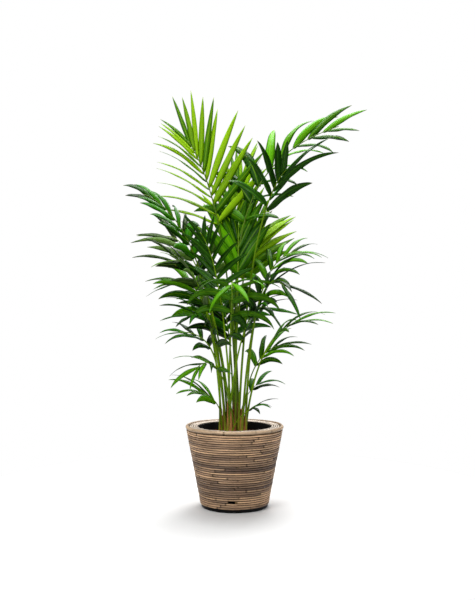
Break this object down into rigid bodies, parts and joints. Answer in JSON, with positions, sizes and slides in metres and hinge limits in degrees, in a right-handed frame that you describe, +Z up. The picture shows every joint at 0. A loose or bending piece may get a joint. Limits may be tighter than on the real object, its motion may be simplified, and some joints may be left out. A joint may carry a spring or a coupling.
{
  "type": "potted kentia palm in a rattan basket",
  "caption": "Tall kentia palm with arching fronds, growing in soil in a black inner pot set in a round, tapered rattan basket planter that stands on the floor.",
  "frame": {"origin": "centre of the base board's underside, on the floor", "axes": "+Z up along the basket's axis; -Y is the side the picture was taken from; +X to the right seen from there"},
  "size_m": [0.9277, 0.6813, 1.593],
  "materials": {
    "fresh_leaf": "young palm leaf, satin, lets light through",
    "deep_leaf": "mature palm leaf, waxy and semi-glossy",
    "husk": "dry fibrous leaf sheath, matt",
    "potting_soil": "moist peat and bark potting soil, matt and crumbly",
    "black_plastic": "moulded black polypropylene, matt",
    "cane": "round rattan cane, weathered, satin",
    "pale_cane": "thick peeled rattan cane, satin",
    "batten_wood": "plain sawn softwood"
  },
  "bodies": {
    "root": {"base_board": "black_plastic", "batten_1": "batten_wood", "batten_2": "batten_wood", "batten_3": "batten_wood", "batten_4": "batten_wood", "batten_5": "batten_wood", "batten_6": "batten_wood", "batten_7": "batten_wood", "batten_8": "batten_wood", "cane_band_1": "cane", "cane_band_2": "cane", "cane_band_3": "cane", "cane_band_4": "cane", "cane_band_5": "cane", "cane_band_6": "cane", "cane_band_7": "cane", "cane_band_8": "cane", "frond_back_dark": "deep_leaf", "frond_back_lime": "fresh_leaf", "frond_back_low": "deep_leaf", "frond_back_right": "fresh_leaf", "frond_centre_dark": "deep_leaf", "frond_front": "fresh_leaf", "frond_front_sprig": "deep_leaf", "frond_left_arch": "deep_leaf", "frond_left_droop": "deep_leaf", "frond_left_high": "deep_leaf", "frond_left_low": "deep_leaf", "frond_left_lowest": "deep_leaf", "frond_left_mid": "deep_leaf", "frond_left_mid_low": "deep_leaf", "frond_left_small": "deep_leaf", "frond_right_broad": "deep_leaf", "frond_right_droop": "deep_leaf", "frond_right_high": "deep_leaf", "frond_right_inner": "deep_leaf", "frond_right_low": "deep_leaf", "frond_right_mid": "deep_leaf", "frond_right_sprig": "deep_leaf", "frond_top_left": "fresh_leaf", "frond_top_right": "deep_leaf", "inner_pot": "black_plastic", "rim_board": "batten_wood", "rim_cane_1": "cane", "rim_cane_2": "cane", "rim_cane_3": "cane", "rim_cane_4": "cane", "rim_edge_cane": "pale_cane", "soil": "potting_soil", "stem_back": "husk", "stem_front": "husk", "stem_left": "husk", "stem_right": "husk"}
  },
  "joints": []
}
